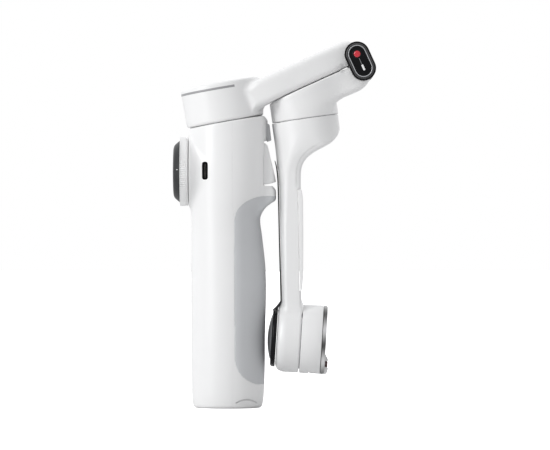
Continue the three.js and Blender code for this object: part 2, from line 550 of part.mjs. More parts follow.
add("tilt_rotor_shell", cut(rotorSkin, [tiltRotorRoom, plateSeat, latchSeat]), WHITE, tiltGroup);
const tiltShaft = disc(1.6, -6.4, 2.6, FINE);
const tiltFlange = disc(5, 1.2, 2.6, FINE);
add("tilt_rotor", tiltShaft.add(tiltFlange), STEEL, tiltGroup);
add("tilt_magnet_ring", ring(11.4, TILT_RADIUS - 1.8, -6.6, 2.6, ROUND), MAGNET, tiltGroup);
const metalRing = turned([
  [13, 10.4], [TILT_RADIUS + 0.2, 10.4], [TILT_RADIUS + 0.2, 11.4], [TILT_RADIUS - 0.4, 12], [13, 12],
], SKIN);
add("tilt_metal_ring", metalRing.subtract(latchSeat), STEEL, tiltGroup);
const contactSlot = box([6, 8], [-3.2, 3.2], [0, 20]);
add("mount_plate", cut(disc(12.7, 8.9, 11.2, ROUND), [latchSeat, contactSlot]), DARK, tiltGroup);
add("latch_block", box([11.7, 15], [-4, 4], [5.4, 13.2]), WHITE, tiltGroup);
const contactBar = box([6.3, 7.7], [-2.9, 2.9], [8.9, 10.6]);
const contactTips = [-1.8, 0, 1.8].map((y) =>
  disc(0.5, 10, 11.6, 12, new THREE.Matrix4().makeTranslation(7, y, 0)),
);
add("contact_pins", union([contactBar, ...contactTips]), GOLD, tiltGroup);

export default gimbal;
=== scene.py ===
import json
import math

import bpy
import numpy as np
from mathutils import Matrix, Vector


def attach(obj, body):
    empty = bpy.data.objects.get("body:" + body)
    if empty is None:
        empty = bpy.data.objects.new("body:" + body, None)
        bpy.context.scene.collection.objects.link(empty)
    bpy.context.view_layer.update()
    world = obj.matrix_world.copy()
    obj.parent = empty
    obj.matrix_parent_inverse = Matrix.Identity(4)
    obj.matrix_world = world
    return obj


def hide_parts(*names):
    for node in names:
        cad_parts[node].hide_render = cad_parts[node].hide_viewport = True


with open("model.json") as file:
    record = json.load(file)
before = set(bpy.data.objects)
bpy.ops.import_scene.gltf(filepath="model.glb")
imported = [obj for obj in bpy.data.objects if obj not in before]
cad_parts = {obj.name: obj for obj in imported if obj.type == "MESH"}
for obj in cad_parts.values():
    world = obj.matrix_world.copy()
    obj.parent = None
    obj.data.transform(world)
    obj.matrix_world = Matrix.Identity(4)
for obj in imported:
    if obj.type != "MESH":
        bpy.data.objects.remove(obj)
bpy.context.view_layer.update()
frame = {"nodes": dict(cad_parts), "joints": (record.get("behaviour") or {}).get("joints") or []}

# A folding phone gimbal stabilizer, shown folded. Shapes are designed in millimetres, as in the frame's
# own drawing, and become metres when they turn into pieces.
MM = 0.001
STEP = 0.42  # grid of the moulded shapes
FINE = 0.3  # grid of the small moulded shapes
SHARP = math.radians(38)

# ---------- frames, from the joints ----------
JOINTS = {joint["name"]: joint for joint in frame["joints"]}


def pivot(name):
    return Vector(JOINTS[name]["pos_m"]) / MM


def frame_at(origin, z_axis):
    """A frame in millimetres whose local Z is the given axis and whose local Y is the world's."""
    y = Vector((0, 1, 0))
    z = Vector(z_axis).normalized()
    return Matrix.Translation(origin) @ Matrix((y.cross(z), y, z)).transposed().to_4x4()


WORLD = Matrix.Identity(4)
PAN = frame_at(pivot("pan"), JOINTS["pan"]["axis"])
ROLL = frame_at(pivot("roll"), JOINTS["roll"]["axis"])
TILT = frame_at(pivot("tilt"), JOINTS["tilt"]["axis"])
WHEEL = frame_at((0, 0, pivot("wheel_turn").z), JOINTS["wheel_turn"]["axis"])
ARM = frame_at(pivot("fold_upper"), pivot("fold_upper") - pivot("fold_lower"))
PIVOT_SPACING = (pivot("fold_upper") - pivot("fold_lower")).length

# ---------- sizes ----------
HEAD_RADIUS = 17.4
HEAD_HEIGHT = 17.7
DRUM_RADIUS = 14.9
TILT_RADIUS = 15.3
MOTOR_WALL = 1.6  # thickness of a motor housing's wall
WHEEL_SEAT = 17.6  # heights along the wheel's axis, from the handle's middle
WHEEL_FACE = 21.4
DISC_TOP = 24.6
ARM_LOW = -3.2  # each short arm's two faces, measured from its fold pin
ARM_HIGH = 8.1
ARM_END_HALF = 11
PIN_BORE = 2.3
CAP_NEAR = 11.3  # the hinge's end plates, across the object
CAP_FAR = 17.0
PILL_RADIUS = 5.6
BUTTON_HEIGHT = 105.4
USB_HEIGHT = 105.6
ROD_REACH = 8.3  # from the handle's middle to the telescopic rod
LEG_RADIUS = 12.8
SEAM = 0.15  # half of the gap at a motor's seam
# The handle's outline: [height, reach] to its left and right, and half of its depth.
LEFT_EDGE = [(0, -15.3), (3, -15.8), (13, -16.2), (30, -16.4), (64, -16.5), (85, -16.5), (97, -17.1),
             (134, -17.5)]
RIGHT_EDGE = [(0, 15.1), (3, 15.7), (13, 16.3), (30, 16.5), (64, 16.6), (76, 15.3), (85, 14.4), (91, 15.6),
              (97, 16.9), (108, 17.5), (134, 17.8)]
HALF_DEPTH = [(0, 15.3), (3, 15.8), (13, 16.2), (30, 16.5), (64, 16.6), (85, 16.6), (97, 17.1), (108, 17.4),
              (134, 17.4)]


# ---------- distance fields ----------
# A field takes points (x, y, z), as arrays that broadcast together, and gives the distance to a shape,
# negative inside it.
def local(p, matrix):
    """Points in a frame's own coordinates."""
    m = np.array(matrix.inverted())
    return tuple(sum(m[i, k] * p[k] for k in range(3) if abs(m[i, k]) > 1e-9) + m[i, 3] for i in range(3))


def melt(a, b, radius):
    """The union of two shapes with a fillet between them."""
    near = np.maximum(radius - np.abs(a - b), 0) / radius
    return np.minimum(a, b) - near * near * radius / 4


def meet(a, b, edge):
    """The part two shapes share, with its new edge rounded."""
    u, v = a + edge, b + edge
    return np.hypot(np.maximum(u, 0), np.maximum(v, 0)) + np.minimum(np.maximum(u, v), 0) - edge


def drum(p, radius, low, high, edge):
    """A cylinder along local Z with rounded edges."""
    across = np.hypot(p[0], p[1]) - radius
    return meet(across, np.abs(p[2] - (low + high) / 2) - (high - low) / 2, edge)


def pipe(p, inner, outer, low, high):
    """A tube along local Z between two radii."""
    radius = np.hypot(p[0], p[1])
    walls = np.abs(radius - (inner + outer) / 2) - (outer - inner) / 2
    return np.maximum(walls, np.abs(p[2] - (low + high) / 2) - (high - low) / 2)


def block(p, low, high, edge):
    """A box between two corners with rounded edges."""
    x, y, z = (np.abs(p[i] - (low[i] + high[i]) / 2) - (high[i] - low[i]) / 2 for i in range(3))
    return meet(meet(x, y, edge), z, edge)


def cross_pin(p, radius):
    """A bore along Y through the local origin."""
    return np.hypot(p[0], p[2]) - radius


def corners(points, steps=6):
    """A closed outline from [a, b] or [a, b, corner radius]: rounded corners become short curves."""
    line = []
    for i, point in enumerate(points):
        here = Vector(point[:2])
        if len(point) == 2:
            line.append(tuple(here))
            continue
        before = here + (Vector(points[i - 1][:2]) - here).normalized() * point[2]
        after = here + (Vector(points[(i + 1) % len(points)][:2]) - here).normalized() * point[2]
        for k in range(steps + 1):
            t = k / steps
            line.append(tuple(before * (1 - t) ** 2 + here * 2 * t * (1 - t) + after * t * t))
    return line


def flow(at, knots):
    """A smooth curve through [position, value] knots."""
    positions, values = np.array(knots, float).T
    slopes = np.gradient(values, positions)
    cell = np.clip(np.searchsorted(positions, at) - 1, 0, len(positions) - 2)
    span = positions[cell + 1] - positions[cell]
    t = np.clip((at - positions[cell]) / span, 0, 1)
    rise = values[cell + 1] - values[cell]
    bow = slopes[cell] * span * t * (1 - t) ** 2 - slopes[cell + 1] * span * t * t * (1 - t)
    return values[cell] + rise * t * t * (3 - 2 * t) + bow


def sweep(points, steps=5):
    """An open smooth line through [a, b] points."""
    knots = np.array([tuple(p) for p in points], float)
    at = np.linspace(0, len(knots) - 1, (len(knots) - 1) * steps + 1)
    order = np.arange(len(knots))
    first, second = (flow(at, np.c_[order, knots[:, i]]) for i in (0, 1))
    return [(float(a), float(b)) for a, b in zip(first, second)]


def within(a, b, line):
    """The distance to a closed outline in two coordinates."""
    shape = np.broadcast(a, b).shape
    inside = np.zeros(shape, bool)
    nearest = np.full(shape, 1e9)
    for (a0, b0), (a1, b1) in zip(line, line[1:] + line[:1]):
        da, db = a1 - a0, b1 - b0
        t = np.clip(((a - a0) * da + (b - b0) * db) / (da * da + db * db + 1e-12), 0, 1)
        nearest = np.minimum(nearest, np.hypot(a - a0 - t * da, b - b0 - t * db))
        if abs(db) > 1e-9:
            inside ^= ((b0 > b) != (b1 > b)) & (a < a0 + (b - b0) * da / db)
    return np.where(inside, -nearest, nearest)


# ---------- meshes: (vertices in millimetres, faces) ----------
def nodes_of(field, low, high, step):
    """The field's values at the corners of a grid that surrounds a box."""
    axes = [np.arange(low[i] - 2 * step, high[i] + 3 * step, step) for i in range(3)]
    grid = field((axes[0][:, None, None], axes[1][None, :, None], axes[2][None, None, :]))
    return axes, np.broadcast_to(grid, [len(a) for a in axes]).astype(np.float32)


def moulded(field, low, high, step):
    """The surface of a field inside a box, as an even net of quads drawn onto it."""
    axes, grid = nodes_of(field, low, high, step)
    inside = grid < 0
    n = [len(a) - 1 for a in axes]
    offsets = [(i, j, k) for i in (0, 1) for j in (0, 1) for k in (0, 1)]
    count = sum(inside[i:i + n[0], j:j + n[1], k:k + n[2]].astype(np.int8) for i, j, k in offsets)
    cells = np.argwhere((count > 0) & (count < 8))
    number = np.full(n, -1)
    number[tuple(cells.T)] = np.arange(len(cells))
    total = np.zeros((len(cells), 3))
    hits = np.zeros(len(cells))
    for corner in offsets:
        for axis in range(3):
            if corner[axis]:
                continue
            there = list(corner)
            there[axis] = 1
            a = grid[tuple((cells + corner).T)]
            b = grid[tuple((cells + there).T)]
            crossing = (a < 0) != (b < 0)
            t = np.where(crossing, a / np.where(crossing, a - b, 1), 0)
            point = np.array(corner, float) + t[:, None] * np.eye(3)[axis]
            total += point * crossing[:, None]
            hits += crossing
    start = np.array([a[0] for a in axes])
    vertices = start + (cells + total / hits[:, None]) * step
    faces = []
    for axis in range(3):
        u, v = (axis + 1) % 3, (axis + 2) % 3
        first = inside.take(range(n[axis]), axis)
        second = inside.take(range(1, n[axis] + 1), axis)
        edges = np.argwhere(first != second)
        edges = edges[(edges[:, u] > 0) & (edges[:, v] > 0) & (edges[:, u] < n[u]) & (edges[:, v] < n[v])]
        quad = []
        for du, dv in ((-1, -1), (0, -1), (0, 0), (-1, 0)):
            cell = edges.copy()
            cell[:, u] += du
            cell[:, v] += dv
            quad.append(number[tuple(cell.T)])
        quad = np.stack(quad, 1)
        outward = first[tuple(edges.T)]
        faces += np.where(outward[:, None], quad, quad[:, ::-1]).tolist()
    return settle(field, vertices, step), faces


def settle(field, vertices, step):
    """Moves net points along the field's slope until they lie on its surface."""
    reach = 0.05
    for _ in range(4):
        p = vertices.T
        value = field(tuple(p))
        slope = np.empty_like(vertices)
        for axis in range(3):
            ahead, behind = p.copy(), p.copy()
            ahead[axis] += reach
            behind[axis] -= reach
            slope[:, axis] = (field(tuple(ahead)) - field(tuple(behind))) / (2 * reach)
        move = -value[:, None] * slope / np.maximum((slope ** 2).sum(1), 0.05)[:, None]
        length = np.linalg.norm(move, axis=1)
        vertices = vertices + move * np.minimum(1, step / 2 / np.maximum(length, 1e-9))[:, None]
    return vertices


def facing_out(vertices, faces):
    """The same shape with its faces pointing out."""
    v = np.array(vertices, float)
    volume = sum(np.dot(v[f[0]], np.cross(v[f[k]], v[f[k + 1]])) for f in faces for k in range(1, len(f) - 1))
    return v, (faces if volume > 0 else [list(reversed(f)) for f in faces])


def moved(shape, matrix):
    """The same shape carried into a frame."""
    return [tuple(matrix @ Vector(v)) for v in shape[0]], shape[1]


def lathe(profile, matrix=WORLD, segments=96, flutes=0):
    """A closed profile of [radius, height] points turned about local Z. A third value is a flute's depth."""
    vertices, rows = [], []
    for radius, height, *depth in profile:
        start = len(vertices)
        if radius < 1e-6:
            vertices.append((0, 0, height))
            rows.append([start] * segments)
            continue
        for i in range(segments):
            angle = 2 * math.pi * i / segments
            reach = radius
            if depth:
                reach -= depth[0] * (0.5 - 0.5 * math.cos(flutes * angle)) ** 0.6
            vertices.append((reach * math.cos(angle), reach * math.sin(angle), height))
        rows.append(list(range(start, start + segments)))
    faces = []
    for a, b in zip(rows, rows[1:] + rows[:1]):
        for i in range(segments):
            j = (i + 1) % segments
            ring = [a[i], a[j], b[j], b[i]]
            face = [ring[k] for k in range(4) if ring[k] != ring[k - 1]]
            if len(face) > 2:
                faces.append(face)
    return moved(facing_out(vertices, faces), matrix)


def prism(line, near, far, matrix=WORLD):
    """An outline in local X and Z, from local y = near to y = far."""
    n = len(line)
    vertices = [(a, near, b) for a, b in line] + [(a, far, b) for a, b in line]
    faces = [list(range(n)), list(range(2 * n - 1, n - 1, -1))]
    faces += [[i, i + n, (i + 1) % n + n, (i + 1) % n] for i in range(n)]
    return moved(facing_out(vertices, faces), matrix)


def crate(low, high, matrix=WORLD):
    """A sharp-edged box between two corners of a frame."""
    line = [(low[0], low[2]), (high[0], low[2]), (high[0], high[2]), (low[0], high[2])]
    return prism(line, low[1], high[1], matrix)


def pill(radius, near, far):
    """A plate round both fold pins, across the arms."""
    steps = 28
    line = []
    for centre, start in ((0, 0), (-PIVOT_SPACING, math.pi)):
        for i in range(steps + 1):
            angle = start + math.pi * i / steps
            line.append((radius * math.cos(angle), centre + radius * math.sin(angle)))
    return prism(line, near, far, ARM)


# ---------- materials ----------
def wire(tree, kind, **settings):
    """Adds a shader node: each setting is a property of it or the value of one of its sockets."""
    node = tree.nodes.new("ShaderNode" + kind)
    for name, value in settings.items():
        if hasattr(node, name):
            setattr(node, name, value)
        else:
            node.inputs[name.replace("_", " ")].default_value = value
    return node


def material(slot, colour, roughness, metallic=0.0, coat=0.0, grain=0.15, grain_size=0.25, mottle=0.03,
             brushed=None, wear=0.1, sheen=0.5):
    """A finish with a fine moulded or brushed grain, slight colour drift and paler, rubbed edges."""
    made = bpy.data.materials.new(slot + "_look")
    made.use_nodes = True
    tree = made.node_tree
    shader = tree.nodes["Principled BSDF"]
    shader.inputs["Metallic"].default_value = metallic
    shader.inputs["Coat Weight"].default_value = coat
    shader.inputs["Coat Roughness"].default_value = 0.12
    shader.inputs["Specular IOR Level"].default_value = sheen
    link = tree.links.new
    place = wire(tree, "TexCoord").outputs["Object"]
    if brushed:
        stretch = wire(tree, "Mapping")
        stretch.inputs["Scale"].default_value = brushed
        link(place, stretch.inputs["Vector"])
        place = stretch.outputs["Vector"]
    fine = wire(tree, "TexNoise", Scale=1 / (grain_size * MM), Detail=4.0, Roughness=0.6)
    broad = wire(tree, "TexNoise", Scale=60.0, Detail=3.0)
    link(place, fine.inputs["Vector"])
    link(wire(tree, "TexCoord").outputs["Object"], broad.inputs["Vector"])
    drift = wire(tree, "MapRange")
    drift.inputs["To Min"].default_value = 1 - mottle
    drift.inputs["To Max"].default_value = 1 + mottle
    link(broad.outputs["Fac"], drift.inputs["Value"])
    tint = wire(tree, "MixRGB", blend_type="MULTIPLY")
    tint.inputs["Fac"].default_value = 1.0
    tint.inputs["Color1"].default_value = (*colour, 1)
    link(drift.outputs["Result"], tint.inputs["Color2"])
    edges = wire(tree, "NewGeometry").outputs["Pointiness"]
    rub = wire(tree, "MapRange")
    rub.inputs["From Min"].default_value = 0.52
    rub.inputs["From Max"].default_value = 0.62
    rub.inputs["To Max"].default_value = wear
    link(edges, rub.inputs["Value"])
    worn = wire(tree, "MixRGB", blend_type="SCREEN")
    worn.inputs["Color2"].default_value = (0.5, 0.5, 0.5, 1)
    link(rub.outputs["Result"], worn.inputs["Fac"])
    link(tint.outputs["Color"], worn.inputs["Color1"])
    link(worn.outputs["Color"], shader.inputs["Base Color"])
    gloss = wire(tree, "MapRange")
    gloss.inputs["To Min"].default_value = roughness * 0.82
    gloss.inputs["To Max"].default_value = min(roughness * 1.18, 1)
    link(fine.outputs["Fac"], gloss.inputs["Value"])
    link(gloss.outputs["Result"], shader.inputs["Roughness"])
    bump = wire(tree, "Bump", Strength=grain, Distance=0.05 * MM)
    link(fine.outputs["Fac"], bump.inputs["Height"])
    link(bump.outputs["Normal"], shader.inputs["Normal"])
    return made


def banded(slot, dark, light, roughness, metallic, width, twist):
    """A finish of bands across local Z: wound wire, printed wrap, a board's tracks, a ring's painted glints.
    """
    made = material(slot, light, roughness, metallic)
    tree = made.node_tree
    mixers = [node for node in tree.nodes if node.bl_idname == "ShaderNodeMixRGB"]
    tint = next(node for node in mixers if node.blend_type == "MULTIPLY")
    density = 1 / (width * MM * math.pi)
    bands = wire(tree, "TexWave", bands_direction="Z", Scale=density, Distortion=twist)
    ramp = wire(tree, "ValToRGB")
    ramp.color_ramp.elements[0].color = (*dark, 1)
    ramp.color_ramp.elements[1].color = (*light, 1)
    tree.links.new(wire(tree, "TexCoord").outputs["Object"], bands.inputs["Vector"])
    tree.links.new(bands.outputs["Fac"], ramp.inputs["Fac"])
    tree.links.new(ramp.outputs["Color"], tint.inputs["Color1"])
    return made


# Colour, roughness and grain of each finish. Dark and light colours and a band's width for the banded ones.
LOOKS = {
    "white_shell": material("white_shell", (0.86, 0.86, 0.86), 0.32, coat=0.2, grain=0.06, grain_size=0.12,
                            mottle=0.012, wear=0.05),
    "soft_grip": material("soft_grip", (0.6, 0.61, 0.625), 0.62, grain=0.5, grain_size=0.22, mottle=0.04,
                          wear=0.2),
    "dark_plastic": material("dark_plastic", (0.025, 0.026, 0.028), 0.42, grain=0.25, grain_size=0.2,
                             wear=0.12, sheen=0.35),
    "grey_plastic": material("grey_plastic", (0.42, 0.43, 0.44), 0.4, grain=0.15, wear=0.15),
    "black_gloss": material("black_gloss", (0.004, 0.004, 0.005), 0.12, grain=0.02, wear=0.03, sheen=0.14),
    "red_dot": material("red_dot", (0.6, 0.012, 0.03), 0.2, coat=0.5, grain=0.03, wear=0.1),
    "steel": material("steel", (0.62, 0.63, 0.65), 0.26, metallic=1.0, grain=0.12, brushed=(1, 1, 12)),
    "magnet": material("magnet", (0.55, 0.55, 0.57), 0.22, metallic=1.0, grain=0.05),
    "copper": banded("copper", (0.25, 0.08, 0.03), (0.8, 0.36, 0.18), 0.35, 1.0, 0.5, twist=0.4),
    "board": banded("board", (0.01, 0.09, 0.04), (0.03, 0.2, 0.09), 0.4, 0.0, 1.2, twist=4.0),
    "cell_wrap": banded("cell_wrap", (0.03, 0.09, 0.3), (0.06, 0.17, 0.45), 0.3, 0.0, 9.0, twist=0.2),
    "gold_contact": material("gold_contact", (0.9, 0.62, 0.22), 0.2, metallic=1.0, grain=0.05),
    "tube_steel": material("tube_steel", (0.6, 0.61, 0.63), 0.18, metallic=1.0, grain=0.1,
                           brushed=(6, 6, 0.3)),
    # The brushed ring's dark and light bands are painted glints: painted reflections in its colour, not its
    # own tone.
    "ring_steel_painted_glints": banded("ring_steel_painted_glints", (0.1, 0.1, 0.1), (0.85, 0.85, 0.85), 0.3, 1.0, 14.3, twist=0.6),
    "bezel": material("bezel", (0.035, 0.035, 0.037), 0.28, grain=0.08, wear=0.12, sheen=0.4),
    "dome": material("dome", (0.2, 0.203, 0.21), 0.35, coat=0.2, grain=0.1, wear=0.2),
    "inlay": material("inlay", (0.33, 0.33, 0.34), 0.35, grain=0.1, wear=0.1),
    "latch_red": material("latch_red", (0.06, 0.012, 0.014), 0.35, grain=0.2, wear=0.2),
}
# The parts inside keep the drawing's shapes and get their finish here.
for cad_node in frame["nodes"].values():
    for i, old in enumerate(cad_node.data.materials):
        cad_node.data.materials[i] = LOOKS[old.name.split(".")[0]]


# ---------- pieces ----------
def solid(name, shape):
    """A new piece in the scene, from a shape in millimetres."""
    mesh = bpy.data.meshes.new(name)
    vertices = np.asarray([tuple(v) for v in shape[0]]) * MM
    mesh.from_pydata(vertices.tolist(), [], shape[1])
    mesh.update()
    piece = bpy.data.objects.new(name, mesh)
    bpy.context.scene.collection.objects.link(piece)
    return piece


def applied(piece):
    """Bakes a piece's modifiers into its mesh."""
    depsgraph = bpy.context.evaluated_depsgraph_get()
    mesh = bpy.data.meshes.new_from_object(piece.evaluated_get(depsgraph))
    piece.modifiers.clear()
    piece.data = mesh


def cut(piece, *shapes):
    """Takes shapes away from a piece."""
    for shape in shapes:
        tool = solid("tool", shape)
        change = piece.modifiers.new("change", "BOOLEAN")
        change.operation = "DIFFERENCE"
        change.solver = "EXACT"
        change.object = tool
        applied(piece)
        bpy.data.objects.remove(tool)
    return piece


def soften(piece, width, segments=3, angle=40):
    """Rounds a piece's sharp edges."""
    bevel = piece.modifiers.new("bevel", "BEVEL")
    bevel.width = width * MM
    bevel.segments = segments
    bevel.limit_method = "ANGLE"
    bevel.angle_limit = math.radians(angle)
    applied(piece)
    return piece


def dress(piece, body, slot, *cad_nodes, look=None):
    """Finishes a piece: smooth shading, material, the body it rides on and the drawn parts it stands for."""
    piece.data.materials.clear()
    piece.data.materials.append(LOOKS[look or slot])
    piece.data.shade_smooth()
    piece.data.set_sharp_from_angle(angle=SHARP)
    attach(piece, body)
    if cad_nodes:
        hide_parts(*cad_nodes)
    return piece


# ---------- handle ----------
def grip_tube(p):
    """The bare handle, an oval tube whose size changes with height."""
    x, y, z = p
    left = flow(z, LEFT_EDGE)
    right = flow(z, RIGHT_EDGE)
    half = flow(z, HALF_DEPTH)
    across = (right - left) / 2
    radius = np.hypot((x - (left + right) / 2) / across, y / half)
    return (radius - 1) * np.minimum(across, half)


HOOK = corners([(8, 80), (12, 84.4, 3), (14.4, 87.2, 3), (19, 91.2, 2.5), (21.9, 92.7, 0.9),
                (21.9, 97.0, 0.8), (19.4, 99.35, 0.4), (8, 99.35)], 4)
BOSS_RADIUS = 13.0  # the wheel's boss at its narrow root, and how far it flares on its way out
BOSS_FLARE = 2.2
BOSS_ROOT = 8.5
BOSS_LENGTH = 9.1
HOOK_HALF = 7.2
NECK_CORNER = (16, 130.3)  # a point on the slanting cut at the neck's high corner, and the cut's direction
NECK_CUT = (0.75, 0.66)


def handle_body(p):
    """The handle's outer surface: tube, flared wheel boss, hook under the trigger, foot and tilted neck."""
    x, y, z = p
    to_wheel = local(p, WHEEL)
    along = np.clip((to_wheel[2] - BOSS_ROOT) / BOSS_LENGTH, 0, 1)
    boss = np.hypot(to_wheel[0], to_wheel[1]) - BOSS_RADIUS - BOSS_FLARE * along * along
    boss = np.maximum(boss, np.abs(to_wheel[2] - 13) - 10)
    surface = melt(grip_tube(p), boss, 3)
    surface = meet(surface, to_wheel[2] - WHEEL_SEAT + 0.15, 0.5)
    nose = meet(np.abs(y) - HOOK_HALF, np.hypot(x - 8, y) - 13.9, 1.5)
    surface = melt(surface, meet(within(x, z, HOOK), nose, 1.6), 2.5)
    surface = meet(surface, -z, 1.4)
    neck_cut = NECK_CUT[0] * (x - NECK_CORNER[0]) + NECK_CUT[1] * (z - NECK_CORNER[1])
    surface = meet(surface, neck_cut, 0.4)
    return meet(surface, local(p, PAN)[2] + SEAM, 0.5)


PAD_LINE = (
    corners([(2.9, 50), (2.9, 70)])
    + sweep([(2.8, 83.5), (4.2, 88.2), (7.6, 91.6), (12.1, 93.8), (17, 94.6), (22.5, 94.4)])
    + corners([(32, 94.4), (32, 10.5)])
    + sweep([(16.3, 10.5), (12.1, 10.7), (7.6, 13.2), (4.6, 16.8), (3.1, 21.2)])
)
PAD_DEPTH = 1.3
PAD_BAND = 3.0  # width of the slope along the pad's edge
PAD_PROUD = 0.4
SPLIT_LINE = [(2, -9), (2, 16), (2.86, 22), (2.86, 84), (2, 91), (2, 140)]  # between the shell's halves
SPLIT_GAP = 0.015
WALL = [(40, 2.0), (46, 2.8), (94, 2.8), (102, 1.5)]  # the shell's thickness at each height


def handle_shell(p):
    """The moulded shell with its hollow, the pad's pocket and every opening."""
    x, y, z = p
    outer = handle_body(p)
    pocket = np.maximum(within(x, z, PAD_LINE) + 0.25, -(outer + PAD_DEPTH))
    wall = np.interp(z, *zip(*WALL))
    shell = np.maximum(np.maximum(outer, -pocket), -(grip_tube(p) + wall))
    wheel_bore = drum(local(p, WHEEL), 9.2, 6, 40, 0.1)
    mouth = meet(block(p, (11, -7.2, 98.9), (30, 7.2, 119), 0.4), -(grip_tube(p) + 9), 0.1)
    button = np.maximum(np.hypot(x, z - BUTTON_HEIGHT) - 4.3, 10 - y)
    for opening in (wheel_bore, mouth, button):
        shell = np.maximum(shell, -opening)
    return shell


def grip_pad(p):
    """The soft pad: proud of the handle at its sides, flush where the arm folds against it."""
    outer = handle_body(p)
    rim = within(p[0], p[2], PAD_LINE)
    proud = np.interp(p[0], [3, 8], [PAD_PROUD, 0])
    skin = meet(outer - 0.02 - proud * np.clip(-rim / PAD_BAND, 0, 1), rim, 0.05)
    return np.maximum(skin, -(outer + PAD_DEPTH - 0.1))


USB = Matrix.Translation((-10.1, 0, USB_HEIGHT))
usb_slot = corners([(-1.3, -4, 1.25), (1.3, -4, 1.25), (1.3, 4, 1.25), (-1.3, 4, 1.25)])
usb_rim = corners([(-1.6, -4.3, 1.5), (1.6, -4.3, 1.5), (1.6, 4.3, 1.5), (-1.6, 4.3, 1.5)])
HANDLE_LOW = (-18.5, -18, 0)
HANDLE_HIGH = (22.5, 18, 131)
casing = moulded(handle_shell, HANDLE_LOW, HANDLE_HIGH, STEP)


def beyond(side):
    """All that lies on one side of the line between the shell's halves, with half of the gap."""
    edge = [(a - side * SPLIT_GAP, b) for a, b in SPLIT_LINE]
    return prism(edge + [(side * 60, 140), (side * 60, -9)], -40, 40)


THUMB = (8.2, -3.3)  # centre of the arched groove over the place where a thumb pulls the foot out
THUMB_RADII = (6.95, 7.6)
THUMB_ANGLES = np.radians(np.linspace(52, 128, 25))
THUMB_DEPTH = 1.3


def thumb_arc():
    """A cutter for the arched groove, as a strip of four-sided rings that follows the handle's front."""
    vertices = []
    for angle in THUMB_ANGLES:
        x0, x1 = (THUMB[0] + radius * math.cos(angle) for radius in THUMB_RADII)
        z0, z1 = (THUMB[1] + radius * math.sin(angle) for radius in THUMB_RADII)
        floor0, floor1 = (THUMB_DEPTH - 16 * math.sqrt(1 - (x / 16.1) ** 2) for x in (x0, x1))
        vertices += [(x0, -22, z0), (x1, -22, z1), (x1, floor1, z1), (x0, floor0, z0)]
    last = len(vertices) - 4
    faces = [[3, 2, 1, 0], [last, last + 1, last + 2, last + 3]]
    for start in range(0, last, 4):
        faces += [[start + i, start + (i + 1) % 4, start + (i + 1) % 4 + 4, start + i + 4] for i in range(4)]
    return facing_out(vertices, faces)


left = cut(solid("handle_shell_left", casing), beyond(1))
cut(left, prism(usb_slot, -20, -8, USB), crate((-2, -11.9, -4.8), (2, -6, 4.8), USB))
dress(left, "handle", "white_shell", "handle_left_shell")
right = cut(solid("handle_shell_right", casing), beyond(-1), thumb_arc())
dress(right, "handle", "white_shell", "handle_right_shell")
pad = solid("soft_grip_pad", moulded(grip_pad, (2, -18, 10), (22.5, 18, 97), STEP))
dress(pad, "handle", "soft_grip", "grip_pad")

socket = cut(solid("usb_socket_liner", prism(usb_rim, -11.6, -7.7, USB)), prism(usb_slot, -20, -8.2, USB))
dress(socket, "handle", "steel", "usb_socket", look="dark_plastic")
tongue = soften(solid("usb_tongue", crate((-0.35, -11.2, -3.1), (0.35, -8, 3.1), USB)), 0.15)
dress(tongue, "handle", "dark_plastic")
CONTACT_PITCH = 0.9
for row in range(6):
    height = CONTACT_PITCH * (row - 2.5)
    contact = solid(f"usb_contact_{row + 1}", crate((-0.4, -11, height), (0.4, -8.6, height + 0.3), USB))
    dress(soften(contact, 0.04), "handle", "gold_contact")

# A pad on the neck's rear that holds the folded roll motor; its grey finish is painted shade, standing in for
# the shade that falls in the gap behind the neck.
bumper_line = corners([(17.4, 118.6, 0.5), (19.4, 119.3, 0.5), (18.6, 126.2, 0.5), (17.2, 127, 0.5)])
bumper = soften(solid("rest_bumper_pad", prism(bumper_line, -4.4, 4.4)), 0.5)
dress(bumper, "handle", "dark_plastic", "rest_bumper", look="grey_plastic")

TRIGGER_LINE = corners([(14.4, 99.6, 0.3), (17.5, 99.75, 1), (21.5, 100.75, 0.5), (20.3, 106), (19, 111.5),
                        (17.7, 117.2, 1), (15.6, 118.4, 1), (13.4, 118.4, 1)], 4)
TRIGGER_ROOM = corners([(12, 98), (18, 98), (18.2, 104), (17.2, 110), (13.4, 113.6), (12, 113.6)])
TRIGGER_PIN = (14.6, 116.2)
TRIGGER_PIN_BORE = 1.2


def trigger_blade(p):
    """The finger lever, hollow behind and bored for its pin."""
    x, y, z = p
    blade = meet(within(x, z, TRIGGER_LINE), meet(np.abs(y) - 6.9, np.hypot(x - 6, y) - 15.6, 1.2), 0.5)
    room = np.maximum(within(x, z, TRIGGER_ROOM), np.abs(y) - 5.3)
    pin_bore = np.hypot(x - TRIGGER_PIN[0], z - TRIGGER_PIN[1]) - TRIGGER_PIN_BORE
    return np.maximum(np.maximum(blade, -room), -pin_bore)


trigger = solid("trigger_blade", moulded(trigger_blade, (13, -7.5, 99), (22, 7.5, 119), FINE))
dress(trigger, "trigger", "white_shell", "trigger")

BUTTON = Matrix.Translation((0, 0, BUTTON_HEIGHT)) @ Matrix.Rotation(-math.pi / 2, 4, "X")
button_profile = [(0, 12.48), (2, 12.48), (2, 14.6), (3.95, 14.6), (4, 14.8), (4, 17.2), (3.8, 17.55),
                  (3.4, 17.7), (2.6, 17.62), (0, 17.4)]
button = solid("power_button_cap", lathe(button_profile, BUTTON, 64))
dress(button, "power_button", "white_shell", "power_button")
button_mark = [(1.05, 17.3), (1.3, 17.3), (1.3, 17.62), (1.05, 17.62)]
dress(solid("power_button_mark", lathe(button_mark, BUTTON, 48)), "power_button", "grey_plastic")

